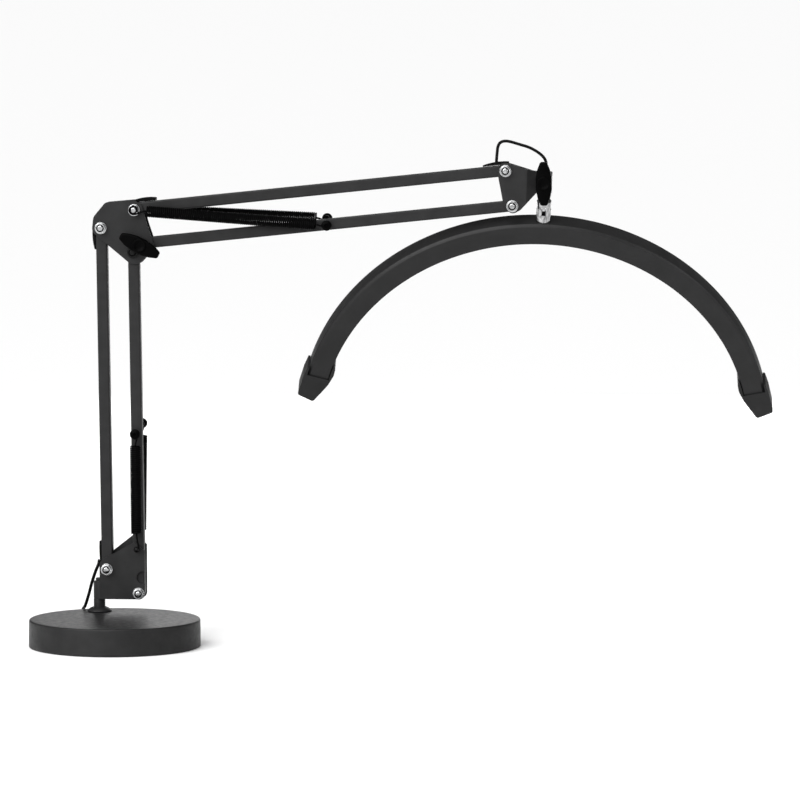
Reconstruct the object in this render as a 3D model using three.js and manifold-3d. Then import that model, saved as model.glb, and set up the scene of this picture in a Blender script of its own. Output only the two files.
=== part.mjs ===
// Half-moon task lamp: a curved LED bar on a spring-balanced twin-link arm, on a weighted
// round base. Millimetres, +Z up. The origin is the centre of the base's underside, and
// the arm reaches along +X. Each Mesh is one real piece.
import * as THREE from 'three';
import { mergeVertices } from 'three/addons/utils/BufferGeometryUtils.js';
import Module from 'manifold-3d';

const wasm = await Module();
wasm.setup();

// ---- driving dimensions ----
const gap = 0.3; // clearance between pieces that touch or turn
const armY = 60; // the plane that both arms swing in
const base = { radius: 91, topRadius: 90.6, height: 29.2, edge: 1.8, wall: 1.5, padThick: 2 };
const post = { x: -25.1, shoulderRadius: 6.2, pinRadius: 4, footRadius: 5, shoulderTop: 43.3, top: 65.5 };
const collar = { radius: 13.4, topRadius: 7.6, height: 4.2 };
const sheet = { inner: 7, outer: 8.8 }; // half spacing of the bracket plates
const tube = { size: 12, corner: 1.6, wall: 1.2, overhang: 5.6 };
const bolt = { shank: 2.9, hole: 3.2, washer: 6.4, washerThick: 1.2, nut: 5.3, nutThick: 4.4 };
const lowerLink = [-4.7, 365]; // from a lower pivot to the elbow pivot above it
const upperLink = [395, 42.8]; // from an elbow pivot to the head pivot
const mainFoot = [-15.8, 75.3]; // pivots, as [x, z] in the arm plane
const followerFoot = [18.6, 49.7];
const upperMain = [15.3, 459.6];
const upperFollower = [22.6, 422.5];
const mainElbow = [mainFoot[0] + lowerLink[0], mainFoot[1] + lowerLink[1]];
const followerElbow = [followerFoot[0] + lowerLink[0], followerFoot[1] + lowerLink[1]];
const headMain = [upperMain[0] + upperLink[0], upperMain[1] + upperLink[1]];
const headFollower = [upperFollower[0] + upperLink[0], upperFollower[1] + upperLink[1]];
const hookFoot = [17.4, 97.6]; // where the lower springs hook on
const spring = { radius: 6.2, wire: 1, offset: 15.2 };
const tiltPivot = [450.4, armY, 465];
const headLean = 2.1; // degrees that the swivel axis leans towards +X
const headPan = 4; // degrees that the bar is turned about the swivel axis
const barTilt = 25.3; // degrees that the bar's top leans towards -Y
const knobHeight = 24.5; // the head's clamp screw, above the tilt pivot
const clevisRise = 16.4; // from the bar's outer surface up to the tilt pivot
const bar = { inner: 230, outer: 253.4, depth: 24, wall: 1.6, halfAngle: 77, bevel: 3 };
const cap = { mouth: 71.6, lip: 76.1, tip: 83.3 }; // degrees from the bar's middle
const halfSocket = bar.halfAngle + 0.1;
const cord = { radius: 1.7, sides: 8, coilMiddle: 18.5, turnsWide: 3, turnsHigh: 4 };
const wireRadius = 1.6; // the thin cable inside the arm and round its joints
const coilCentre = [-12, 126];

// ---- finishes ----
const charcoal = { color: 0x2b2b2c, roughness: 0.55, metalness: 0.3 };
const blackPlastic = { color: 0x0b0b0c, roughness: 0.5, metalness: 0 };
const capPlastic = { color: 0x252526, roughness: 0.6, metalness: 0 };
const zinc = { color: 0xd8dade, roughness: 0.25, metalness: 1 };
const chromed = { color: 0xe4e6ea, roughness: 0.1, metalness: 1 };
const springSteel = { color: 0x101012, roughness: 0.4, metalness: 0.6 };
const castIron = { color: 0x3c3c3e, roughness: 0.8, metalness: 0.6 };
const foam = { color: 0x161617, roughness: 0.95, metalness: 0 };
const diffuserWhite = { color: 0xf4f3ee, roughness: 0.5, metalness: 0 };
const ledBoard = { color: 0xe9e6dc, roughness: 0.6, metalness: 0 };
const cordBlack = { color: 0x0a0a0a, roughness: 0.6, metalness: 0 };

// ---- helpers ----
const radians = (degrees) => (degrees * Math.PI) / 180;

// The closed solid of a geometry, with its faces outwards whichever way it was drawn.
function solid(geometry) {
  const bare = geometry.clone();
  bare.deleteAttribute('normal');
  bare.deleteAttribute('uv');
  const merged = mergeVertices(bare, 1e-4);
  const vertProperties = new Float32Array(merged.attributes.position.array);
  const triVerts = new Uint32Array(merged.index.array);
  const made = new wasm.Manifold(new wasm.Mesh({ numProp: 3, vertProperties, triVerts }));
  if (made.volume() > 0) return made;
  return new wasm.Manifold(new wasm.Mesh({ numProp: 3, vertProperties, triVerts: triVerts.reverse() }));
}

function geometryOf(manifold) {
  const mesh = manifold.getMesh();
  const geometry = new THREE.BufferGeometry();
  geometry.setAttribute('position', new THREE.BufferAttribute(mesh.vertProperties, 3));
  geometry.setIndex(new THREE.BufferAttribute(mesh.triVerts, 1));
  return geometry;
}

function addPiece(parent, name, shape, finish) {
  const geometry = shape.isBufferGeometry ? shape : geometryOf(shape);
  const mesh = new THREE.Mesh(geometry, new THREE.MeshStandardMaterial(finish));
  mesh.name = name;
  parent.add(mesh);
  return mesh;
}

// Cylinder along Y between two depths, at [x, z].
function rodY(radius, y0, y1, [x, z], sides = 16) {
  const geometry = new THREE.CylinderGeometry(radius, radius, y1 - y0, sides);
  return solid(geometry.translate(x, (y0 + y1) / 2, z));
}

// Cylinder along Z between two heights, at x, y.
function rodZ(radius, z0, z1, x = 0, y = 0, sides = 32) {
  const geometry = new THREE.CylinderGeometry(radius, radius, z1 - z0, sides);
  return solid(geometry.rotateX(Math.PI / 2).translate(x, y, (z0 + z1) / 2));
}

function rodX(radius, x0, x1, y = 0, z = 0, sides = 20) {
  const geometry = new THREE.CylinderGeometry(radius, radius, x1 - x0, sides);
  return solid(geometry.rotateZ(Math.PI / 2).translate((x0 + x1) / 2, y, z));
}

function block(x0, x1, y0, y1, z0, z1) {
  const geometry = new THREE.BoxGeometry(x1 - x0, y1 - y0, z1 - z0);
  return solid(geometry.translate((x0 + x1) / 2, (y0 + y1) / 2, (z0 + z1) / 2));
}

// Solid of revolution about Z from [radius, height] points.
function turned(points, sides = 64, x = 0, y = 0) {
  const profile = points.map(([radius, height]) => new THREE.Vector2(radius, height));
  const geometry = new THREE.LatheGeometry(profile, sides).rotateX(Math.PI / 2);
  return solid(geometry.translate(x, y, 0));
}

// Closed outline from [x, z, cornerRadius] points, each corner rounded by an arc.
function outline(points) {
  const shape = new THREE.Shape();
  const count = points.length;
  points.forEach(([x, z, radius = 0], i) => {
    const before = points[(i + count - 1) % count];
    const after = points[(i + 1) % count];
    const toBefore = new THREE.Vector2(before[0] - x, before[1] - z).normalize();
    const toAfter = new THREE.Vector2(after[0] - x, after[1] - z).normalize();
    const half = Math.acos(THREE.MathUtils.clamp(toBefore.dot(toAfter), -1, 1)) / 2;
    const reach = radius > 0 ? radius / Math.tan(half) : 0;
    const start = [x + toBefore.x * reach, z + toBefore.y * reach];
    if (i === 0) shape.moveTo(...start);
    else shape.lineTo(...start);
    if (radius > 0) {
      const inward = toBefore.clone().add(toAfter).normalize();
      const centre = [x + (inward.x * radius) / Math.sin(half), z + (inward.y * radius) / Math.sin(half)];
      const end = [x + toAfter.x * reach, z + toAfter.y * reach];
      const angleTo = ([px, pz]) => Math.atan2(pz - centre[1], px - centre[0]);
      const clockwise = toBefore.cross(toAfter) > 0;
      shape.absarc(...centre, radius, angleTo(start), angleTo(end), clockwise);
    }
  });
  return shape;
}

// A shape drawn in x, z and carried along Y between two depths.
function plateXZ(shape, y0, y1, curveSegments = 5) {
  const geometry = new THREE.ExtrudeGeometry(shape, { depth: y1 - y0, bevelEnabled: false, curveSegments });
  return solid(geometry.rotateX(Math.PI / 2).translate(0, y1, 0));
}

// A shape drawn in x, y and carried along Z between two heights.
function plateXY(shape, z0, z1, curveSegments = 12) {
  const geometry = new THREE.ExtrudeGeometry(shape, { depth: z1 - z0, bevelEnabled: false, curveSegments });
  return solid(geometry.translate(0, 0, z0));
}

function roundSection(radius, sides) {
  const shape = new THREE.Shape();
  for (let i = 0; i < sides; i += 1) {
    const angle = (i / sides) * 2 * Math.PI;
    const point = [radius * Math.cos(angle), radius * Math.sin(angle)];
    if (i === 0) shape.moveTo(...point);
    else shape.lineTo(...point);
  }
  shape.closePath();
  return shape;
}

function roundTube(points, radius, sides, steps) {
  const knots = points.map((point) => new THREE.Vector3(...point));
  const path = new THREE.CatmullRomCurve3(knots, false, 'centripetal');
  const options = { steps, bevelEnabled: false, extrudePath: path };
  return new THREE.ExtrudeGeometry(roundSection(radius, sides), options);
}

// ---- arm tubes ----
// Square tube in the arm plane from one pivot to the next, with rounded ends about the
// pivots. lift moves its centreline off the pivots at each end.
function armTube(start, end, lift = [0, 0]) {
  const run = new THREE.Vector2(end[0] - start[0], end[1] - start[1]);
  const length = run.length();
  const angle = Math.atan2(run.y, run.x);
  const slope = Math.atan2(lift[1] - lift[0], length);
  const half = tube.size / 2;
  const reach = length / 2 + tube.overhang + 2;
  const section = (inset) => outline([[-half + inset, -half + inset, tube.corner - inset / 2],
    [half - inset, -half + inset, tube.corner - inset / 2],
    [half - inset, half - inset, tube.corner - inset / 2],
    [-half + inset, half - inset, tube.corner - inset / 2]]);
  const bore = section(tube.wall);
  const sectionShape = section(0);
  sectionShape.holes.push(bore);
  const settings = { depth: 2 * reach, bevelEnabled: false, curveSegments: 2 };
  const extruded = new THREE.ExtrudeGeometry(sectionShape, settings);
  extruded.rotateY(Math.PI / 2).translate(length / 2 - reach, 0, 0);
  extruded.translate(-length / 2, 0, (lift[0] + lift[1]) / 2).rotateY(-slope).translate(length / 2, 0, 0);
  const ends = new THREE.Shape();
  ends.moveTo(0, -half - 3);
  ends.lineTo(length, -half - 3);
  ends.absarc(length, 0, tube.overhang, radians(-90), radians(90), false);
  ends.lineTo(length, half + 3);
  ends.lineTo(0, half + 3);
  ends.absarc(0, 0, tube.overhang, radians(90), radians(270), false);
  ends.closePath();
  let body = solid(extruded).intersect(plateXZ(ends, -10, 10));
  for (const x of [0, length]) body = body.subtract(rodY(bolt.hole, -10, 10, [x, 0], 12));
  const placed = geometryOf(body).rotateY(-angle).translate(start[0], armY, start[1]);
  return solid(placed);
}

// A point measured from a pivot along a link and square to it, as [x, z].
function alongLink(start, link, distance, side) {
  const length = Math.hypot(...link);
  const unit = [link[0] / length, link[1] / length];
  return [start[0] + unit[0] * distance - unit[1] * side, start[1] + unit[1] * distance + unit[0] * side];
}

// ---- fasteners ----
// Hex-headed bolt with its head behind and its threaded end in front.
function pivotBolt(at) {
  const head = rodY(bolt.nut, armY + sheet.outer + gap, armY + sheet.outer + 3.6, at, 6);
  const shank = rodY(bolt.shank, armY - sheet.outer - 7.2, armY + sheet.outer + 1, at, 12);
  return head.add(shank);
}

// Washer and hex nut in one, on the front end of a pivot bolt.
function pivotNut(at) {
  const back = armY - sheet.outer - gap;
  const washer = rodY(bolt.washer, back - bolt.washerThick, back, at, 20);
  const nut = rodY(bolt.nut, back - bolt.washerThick - bolt.nutThick, back - 0.5, at, 6);
  return washer.add(nut).subtract(rodY(bolt.hole, armY - 30, armY, at, 12));
}

function addPivot(parent, name, at) {
  addPiece(parent, `${name}_bolt`, pivotBolt(at), zinc);
  addPiece(parent, `${name}_nut`, pivotNut(at), zinc);
}

// Two-winged clamp knob, drawn with its axis along Y and its wings along local X.
function wingKnob(angle, at, backY) {
  const wings = outline([
    [-23, -3.4, 2.4], [-15, -6.6, 4], [-6, -8.4, 4], [6, -8.4, 4], [15, -6.6, 4], [23, -3.4, 2.4],
    [23, 3.4, 2.4], [15, 6.6, 4], [6, 8.4, 4], [-6, 8.4, 4], [-15, 6.6, 4], [-23, 3.4, 2.4]]);
  const plate = plateXZ(wings, -15.5, -8, 3);
  const hub = rodY(5, -10, 0, [0, 0], 16).add(rodY(7.4, -16.5, -7.6, [0, 0], 20));
  const body = plate.add(hub);
  const geometry = geometryOf(body).rotateY(-radians(angle)).translate(at[0], backY, at[1]);
  return solid(geometry);
}

// ---- base ----
function addBase(parent) {
  const { radius, topRadius, height, edge, wall } = base;
  const at = [post.x, armY];
  const outer = [[0, height], [topRadius - edge, height], [topRadius - edge * 0.3, height - edge * 0.3],
    [topRadius, height - edge], [radius, 0.5], [radius - wall, 0.5], [topRadius - wall, height - wall],
    [0, height - wall]];
  const shell = turned(outer, 72).subtract(rodZ(post.footRadius + gap, 0, height + 2, ...at));
  addPiece(parent, 'base_shell', shell, charcoal);
  const weightTop = height - wall - gap;
  const weightRadius = topRadius - wall - 0.6;
  let weight = turned([[0, 2.3], [weightRadius, 2.3], [weightRadius, weightTop - 1],
    [weightRadius - 1, weightTop], [0, weightTop]], 60);
  weight = weight.subtract(rodZ(post.footRadius + gap, 0, height, ...at)).subtract(rodZ(10.5, 0, 9.4, ...at));
  addPiece(parent, 'base_weight', weight, castIron);
  const pad = turned([[0, 0], [86, 0], [86, base.padThick], [0, base.padThick]], 48);
  addPiece(parent, 'base_pad', pad, foam);
  const seat = height + gap;
  const ring = turned([[post.shoulderRadius + gap, seat], [collar.radius, seat], [collar.radius, seat + 0.8],
    [collar.topRadius, seat + collar.height], [post.shoulderRadius + gap, seat + collar.height],
    [post.shoulderRadius + gap, seat]], 40, ...at);
  addPiece(parent, 'base_collar', ring, charcoal);
  const nut = rodZ(8.6, 3, 9, ...at, 6).subtract(rodZ(post.footRadius + gap, 2, 10, ...at, 24));
  addPiece(parent, 'base_nut', nut, zinc);
  const pin = turned([[0, 2.6], [post.footRadius, 2.6], [post.footRadius, seat], [post.shoulderRadius, seat],
    [post.shoulderRadius, post.shoulderTop - gap], [post.pinRadius, post.shoulderTop - gap],
    [post.pinRadius, post.top - 0.8], [post.pinRadius - 0.8, post.top], [0, post.top]], 32, ...at);
  addPiece(parent, 'swivel_post', pin, charcoal);
}

// ---- lower bracket ----
// One folded sheet: a front plate, a barrel round the post and a rear plate.
function lowerBracket() {
  const { inner, outer } = sheet;
  const barrel = post.shoulderRadius;
  const fold = new THREE.Shape();
  const wrap = 110; // degrees either side of +X where the sheet leaves the barrel
  fold.moveTo(60, -outer);
  fold.lineTo(1.4, -outer);
  fold.absarc(0, 0, barrel, radians(-wrap), radians(wrap), true);
  fold.lineTo(1.4, outer);
  fold.lineTo(60, outer);
  fold.lineTo(60, inner);
  fold.lineTo(2.1, inner);
  fold.absarc(0, 0, 4.4, radians(wrap), radians(-wrap), false);
  fold.lineTo(2.1, -inner);
  fold.lineTo(60, -inner);
  fold.closePath();
  const sheetSolid = solid(geometryOf(plateXY(fold, post.shoulderTop, 125)).translate(post.x, armY, 0));
  const left = post.x - barrel - 1;
  const [footX, footZ] = mainFoot;
  const [rightX] = followerFoot;
  const side = (topPoints) => outline([[left, post.shoulderTop], [left, 62], [footX - 7.9, 62, 2],
    [footX - 7.9, footZ + 9, 7.5], ...topPoints, [rightX + 6.6, post.shoulderTop, 6.4]]);
  const frontEdge = [[14.6, 105.3, 1.2], [22.6, 97.2], [rightX + 6.6, 96.6]];
  const rearEdge = [[12.5, 112.6, 2.5], [rightX + 6.6, 101]];
  const front = plateXZ(side(frontEdge), armY - 20, armY);
  const rear = plateXZ(side(rearEdge), armY, armY + 20);
  const notch = rodY(6.8, armY - 20, armY, [rightX + 4.4, 66.8], 24);
  let bracket = sheetSolid.intersect(front.add(rear)).subtract(notch);
  for (const pivot of [mainFoot, followerFoot]) {
    bracket = bracket.subtract(rodY(bolt.hole, armY - 20, armY + 20, pivot, 12));
  }
  const throughRivet = rodY(1.5 + gap, armY - 20, armY + 20, hookFoot);
  return bracket.subtract(throughRivet);
}

// ---- elbow ----
function elbowPlate(y0, y1) {
  const edge = outline([[-30.2, 436.5, 7.5], [-28.6, 452, 9], [-15.6, 467.6, 6], [15.4, 470.4, 7],
    [23.6, 464.6, 5], [28.6, 446], [37.2, 420.5, 6.5], [20, 401.6, 8], [10.6, 402.6, 6]]);
  let plate = plateXZ(edge, y0, y1);
  for (const pivot of [mainElbow, followerElbow, upperMain, upperFollower]) {
    plate = plate.subtract(rodY(bolt.hole, armY - 20, armY + 20, pivot, 12));
  }
  return plate;
}

// ---- head ----
function headLocal([x, z]) {
  const angle = radians(headLean);
  const dx = x - tiltPivot[0];
  const dz = z - tiltPivot[2];
  return [dx * Math.cos(angle) - dz * Math.sin(angle), dx * Math.sin(angle) + dz * Math.cos(angle)];
}

// Everything in the head is drawn from the tilt pivot, with Z up the swivel axis.
function headBracket() {
  const barrelBottom = 14;
  const barrelTop = 37;
  const bend = new THREE.Shape();
  bend.moveTo(-52, -8.8);
  bend.lineTo(-18.6, -8.8);
  bend.lineTo(-6.1, -3.6);
  bend.lineTo(-6.1, -1.5);
  bend.lineTo(-7.2, -1.5);
  bend.lineTo(-19.2, -7);
  bend.lineTo(-52, -7);
  bend.closePath();
  const frontSheet = plateXY(bend, -20, 60);
  const rearSheet = solid(geometryOf(frontSheet).rotateX(Math.PI).translate(0, 0, 40));
  const [mainX, mainZ] = headLocal(headMain);
  const [followerX, followerZ] = headLocal(headFollower);
  const edge = outline([[mainX - 9.6, mainZ + 2.5, 7.5], [mainX - 3, mainZ + 9.6, 7.5],
    [mainX + 9, mainZ + 6.4], [-12.5, barrelTop, 4], [-5.4, barrelTop], [-5.4, barrelBottom], [-8.2, barrelBottom],
    [followerX + 8, followerZ - 4.2, 2], [followerX - 1, followerZ - 9.6, 6.6],
    [followerX - 9.6, followerZ + 1.5, 6.6]]);
  const plates = frontSheet.add(rearSheet).intersect(plateXZ(edge, -20, 20));
  const barrel = rodZ(7.4, barrelBottom, barrelTop, 0, 0, 32);
  let bracket = plates.add(barrel).subtract(rodZ(5.5, 0, 60));
  const screwHole = rodY(2.5 + gap, -12, 0, [0, knobHeight], 16);
  bracket = bracket.subtract(screwHole);
  for (const pivot of [[mainX, mainZ], [followerX, followerZ]]) {
    bracket = bracket.subtract(rodY(bolt.hole, -20, 20, pivot, 12));
  }
  return bracket;
}

// Swivel stud with a flat tongue below for the tilt pivot and a bore for the cable.
function swivelStud() {
  const shank = rodZ(5.2, 12, 38.5, 0, 0, 28);
  const shoulder = rodZ(7.2, 11.6, 13.7, 0, 0, 28);
  const tongue = block(-1.9, 1.9, -7, 7, 0, 12).add(rodX(7, -1.9, 1.9, 0, 0, 28));
  const groove = turned([[4.2, knobHeight - 4], [6, knobHeight - 4], [6, knobHeight + 4],
    [4.2, knobHeight + 4], [4.2, knobHeight - 4]], 28);
  const cableBore = rodZ(2, 15, 50, 0, 0, 12);
  return shank.add(shoulder).add(tongue).subtract(rodX(2.6, -5, 5)).subtract(groove).subtract(cableBore);
}

// Fork that stands on the bar. Local origin at the tilt pivot, Z up the bar's own axis.
function barClevis() {
  const foot = -clevisRise + gap;
  const profile = [[0, foot], [8.2, foot], [8.2, foot + 2], [7.8, foot + 2.6], [7.8, 6.4], [7, 7.6], [0, 7.6]];
  const body = turned(profile, 36);
  const slot = block(-2.2, 2.2, -10, 10, -7.6, 12);
  const recess = rodX(3.9, 4.8, 12).add(rodX(3.9, -12, -4.8));
  return body.subtract(slot).subtract(recess).subtract(rodX(2.2 + gap, -12, 12));
}

// ---- curved bar, drawn about its own centre with its middle at +Z ----
function sector(fromAngle, toAngle, radius = 400) {
  const shape = new THREE.Shape();
  shape.moveTo(0, 0);
  const steps = 12;
  for (let i = 0; i <= steps; i += 1) {
    const angle = radians(fromAngle + ((toAngle - fromAngle) * i) / steps);
    shape.lineTo(radius * Math.sin(angle), radius * Math.cos(angle));
  }
  shape.closePath();
  return shape;
}

// Ring about Y from [radius, depth] points, kept between two angles from the middle.
function arc(points, fromAngle, toAngle, sides = 96) {
  const profile = points.map(([radius, depth]) => new THREE.Vector2(radius, depth));
  profile.push(profile[0].clone());
  const ring = solid(new THREE.LatheGeometry(profile, sides));
  return ring.intersect(plateXZ(sector(fromAngle, toAngle), -60, 60));
}

function barHousing() {
  const { inner, outer, wall, bevel, halfAngle } = bar;
  const half = bar.depth / 2;
  const section = [[inner, half], [inner, -half + 0.8], [inner + 0.8, -half], [outer - bevel, -half],
    [outer, -half + bevel * 0.8], [outer, half], [outer - wall, half], [outer - wall, -half + bevel],
    [outer - bevel - 0.4, -half + wall], [inner + wall, -half + wall], [inner + wall, half]];
  return arc(section, -halfAngle, halfAngle);
}

function barFill(inset, y0, y1, halfAngle, sides = 80) {
  const r0 = bar.inner + inset;
  const r1 = bar.outer - inset;
  return arc([[r0, y0], [r1, y0], [r1, y1], [r0, y1]], -halfAngle, halfAngle, sides);
}

// Moulded end: a socket over the bar's end with two longer cheeks and a blunt tip.
function endCap(sign) {
  const polar = (radius, degrees) => [
    radius * Math.sin(radians(degrees)) * sign,
    radius * Math.cos(radians(degrees)),
  ];
  const { mouth, lip, tip } = cap;
  const corners = [[...polar(bar.inner - 1.4, mouth)], [...polar(bar.outer + 2.4, mouth + 2.6)],
    [...polar(bar.outer + 3.8, lip + 0.9), 20], [...polar(bar.outer + 5.4, tip - 1.4), 3],
    [...polar(bar.inner + 11, tip), 3], [...polar(bar.inner - 1, lip + 1.5), 8],
    [...polar(bar.inner - 4, mouth + 2.8), 8], [...polar(bar.inner - 3.4, mouth + 0.9), 1.5]];
  const half = bar.depth / 2;
  const blank = plateXZ(outline(corners), -half - 1.8, half + 1.8);
  const bore = [[bar.inner - gap, -half - gap], [bar.outer + gap, -half - gap],
    [bar.outer + gap, half + gap], [bar.inner - gap, half + gap]];
  const socket = arc(bore, -halfSocket, halfSocket);
  const openFront = plateXZ(sector(-lip, lip), -60, -half + 1);
  const openRear = plateXZ(sector(-lip, lip), half - 1, 60);
  const between = arc([[bar.inner - gap, -40], [bar.outer + gap, -40], [bar.outer + gap, 40],
    [bar.inner - gap, 40]], -90, 90);
  const lips = between.intersect(openFront.add(openRear));
  return blank.subtract(socket).subtract(lips);
}

// ---- springs ----
// The envelope of a close-wound tension spring with a straight hook at each end.
function springEnvelope(hook, anchor, y, hookLength, tailLength) {
  const from = new THREE.Vector3(hook[0], y, hook[1]);
  const to = new THREE.Vector3(anchor[0], y, anchor[1]);
  const length = from.distanceTo(to);
  const { wire, radius } = spring;
  const tail = length - tailLength;
  const profile = [[0, 0.5], [wire, 0.5], [wire, hookLength - 3], [radius, hookLength],
    [radius, tail], [wire, tail + 4], [wire, length - 4.2], [0, length - 4.2]];
  const geometry = new THREE.LatheGeometry(profile.map(([r, h]) => new THREE.Vector2(r, h)), 14);
  const along = to.clone().sub(from).normalize();
  const turn = new THREE.Quaternion().setFromUnitVectors(new THREE.Vector3(0, 1, 0), along);
  return solid(geometry.applyQuaternion(turn).translate(from.x, from.y, from.z));
}

// Rivet that stands out of a bracket plate and carries the near end of a spring.
function hookRivet(side) {
  const seat = armY + side * (sheet.inner + 0.1);
  const end = armY + side * (spring.offset + 3.2);
  const shank = rodY(1.5, Math.min(seat, end), Math.max(seat, end), hookFoot, 12);
  const head = rodY(2.6, Math.min(end, end - side * 1.2), Math.max(end, end - side * 1.2), hookFoot, 16);
  return shank.add(head);
}

// Round-headed screw that carries the far end of a spring. side is -1 in front, 1 behind.
function springScrew(at, side) {
  const y0 = armY + side * (tube.size / 2 + gap);
  const y1 = armY + side * (spring.offset + 5.5);
  const shank = rodY(2, Math.min(y0, y1), Math.max(y0, y1), at, 10);
  const flange = rodY(3.6, Math.min(y0, y0 + side * 3.4), Math.max(y0, y0 + side * 3.4), at, 14);
  const head = rodY(5.6, Math.min(y1, y1 - side * 3.4), Math.max(y1, y1 - side * 3.4), at, 20);
  return shank.add(flange).add(head);
}

// ---- assembly ----
const group = new THREE.Group();
addBase(group);

addPiece(group, 'lower_bracket', lowerBracket(), charcoal);
addPivot(group, 'lower_main', mainFoot);
addPivot(group, 'lower_follower', followerFoot);

addPiece(group, 'lower_main_tube', armTube(mainFoot, mainElbow), charcoal);
addPiece(group, 'lower_follower_tube', armTube(followerFoot, followerElbow), charcoal);

addPiece(group, 'elbow_plate_front', elbowPlate(armY - sheet.outer, armY - sheet.inner), charcoal);
addPiece(group, 'elbow_plate_rear', elbowPlate(armY + sheet.inner, armY + sheet.outer), charcoal);
addPivot(group, 'elbow_main', mainElbow);
addPivot(group, 'elbow_upper', upperMain);
addPivot(group, 'elbow_follower', followerElbow);
const knobBack = armY - sheet.outer - gap;
const lockHead = rodY(bolt.nut, armY + sheet.outer + gap, armY + sheet.outer + 3.6, upperFollower, 6);
const lockShank = rodY(bolt.shank, knobBack - 11.7, armY + sheet.outer + 1, upperFollower, 16);
addPiece(group, 'elbow_lock_screw', lockHead.add(lockShank), zinc);
const elbowKnob = wingKnob(-27, upperFollower, knobBack);
const elbowKnobBore = rodY(bolt.hole, knobBack - 12, knobBack + 1, upperFollower, 16);
addPiece(group, 'elbow_wing_knob', elbowKnob.subtract(elbowKnobBore), blackPlastic);

const upperLift = [1.6, 0.3];
addPiece(group, 'upper_main_tube', armTube(upperMain, headMain, upperLift), charcoal);
addPiece(group, 'upper_follower_tube', armTube(upperFollower, headFollower, upperLift), charcoal);

// Springs and their screws: lower pair, then upper pair.
const lowerAnchors = {
  front: alongLink(followerFoot, lowerLink, 171.5, 0),
  rear: alongLink(followerFoot, lowerLink, 180.5, -3),
};
const upperAnchors = {
  front: alongLink(upperFollower, upperLink, 200, 0.4),
  rear: alongLink(upperFollower, upperLink, 198, 6.6),
};
for (const [place, side] of [['front', -1], ['rear', 1]]) {
  const y = armY + side * spring.offset;
  const lowerSpring = springEnvelope(hookFoot, lowerAnchors[place], y, 17, 12);
  const upperSpring = springEnvelope(upperMain, upperAnchors[place], y, 14, 17);
  const clearLower = rodY(1.5 + gap, armY - 30, armY + 30, hookFoot, 12);
  const clearUpper = rodY(bolt.washer + gap, armY - 30, armY + 30, upperMain, 24);
  addPiece(group, `lower_hook_pin_${place}`, hookRivet(side), zinc);
  addPiece(group, `lower_spring_${place}`, lowerSpring.subtract(clearLower), springSteel);
  addPiece(group, `lower_spring_screw_${place}`, springScrew(lowerAnchors[place], side), blackPlastic);
  addPiece(group, `upper_spring_${place}`, upperSpring.subtract(clearUpper), springSteel);
  addPiece(group, `upper_spring_screw_${place}`, springScrew(upperAnchors[place], side), blackPlastic);
}

// Cable grommets: soft strips clipped along the tubes where the cable goes in or out.
function grommet(start, end, thick, bow = 0) {
  const run = new THREE.Vector2(end[0] - start[0], end[1] - start[1]);
  const length = run.length();
  const shape = new THREE.Shape();
  shape.moveTo(0, 0);
  shape.lineTo(length, 0);
  shape.lineTo(length, thick * 0.7);
  shape.quadraticCurveTo(length * 0.5, thick + bow, 0, thick * 0.35);
  shape.closePath();
  const strip = geometryOf(plateXZ(shape, armY - 4.2, armY + 4.2));
  return solid(strip.rotateY(-Math.atan2(run.y, run.x)).translate(start[0], 0, start[1]));
}
const tubeFace = tube.size / 2 + gap;
const footStart = alongLink(mainFoot, lowerLink, 3, tubeFace);
const footStrip = grommet(footStart, alongLink(mainFoot, lowerLink, 30, tubeFace), 2.8);
addPiece(group, 'lower_foot_grommet', footStrip, blackPlastic);
const elbowStart = alongLink(mainElbow, lowerLink, -23, tubeFace);
const elbowStrip = grommet(elbowStart, alongLink(mainElbow, lowerLink, 4, tubeFace), 4, 1);
addPiece(group, 'lower_elbow_grommet', elbowStrip, blackPlastic);
const topStart = alongLink(upperMain, upperLink, -4, tubeFace + 1.6);
const topStrip = grommet(topStart, alongLink(upperMain, upperLink, 24, tubeFace + 1.5), 4.4, 1.5);
addPiece(group, 'upper_elbow_grommet', topStrip, blackPlastic);
const headStart = alongLink(headMain, upperLink, -24, tubeFace + 0.5);
const headStrip = grommet(headStart, alongLink(headMain, upperLink, 4, tubeFace + 0.4), 4, 1);
addPiece(group, 'upper_head_grommet', headStrip, blackPlastic);

// ---- head, swivel stud and curved bar ----
const head = new THREE.Group();
head.position.set(...tiltPivot);
head.rotation.y = radians(headLean);
group.add(head);
addPiece(head, 'head_bracket', headBracket(), charcoal);
addPivot(group, 'head_main', headMain);
addPivot(group, 'head_follower', headFollower);
const headKnobBack = -7.4 - gap;
const headKnob = wingKnob(93, [0, knobHeight], headKnobBack);
const knobScrew = rodY(2.5, headKnobBack - 1, -4.6, [0, knobHeight], 16);
addPiece(head, 'head_wing_knob', headKnob.add(knobScrew), blackPlastic);

const pan = new THREE.Group();
pan.rotation.z = radians(headPan);
head.add(pan);
addPiece(pan, 'swivel_stud', swivelStud(), chromed);

const tilt = new THREE.Group();
tilt.rotation.x = radians(barTilt);
pan.add(tilt);
addPiece(tilt, 'bar_clevis', barClevis(), chromed);
const tiltScrew = rodX(2.2, -7.2, 7.2).add(rodX(3.6, 5.1, 7.2)).add(rodX(3.6, -7.2, -5.1));
addPiece(tilt, 'tilt_screw', tiltScrew, zinc);

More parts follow.
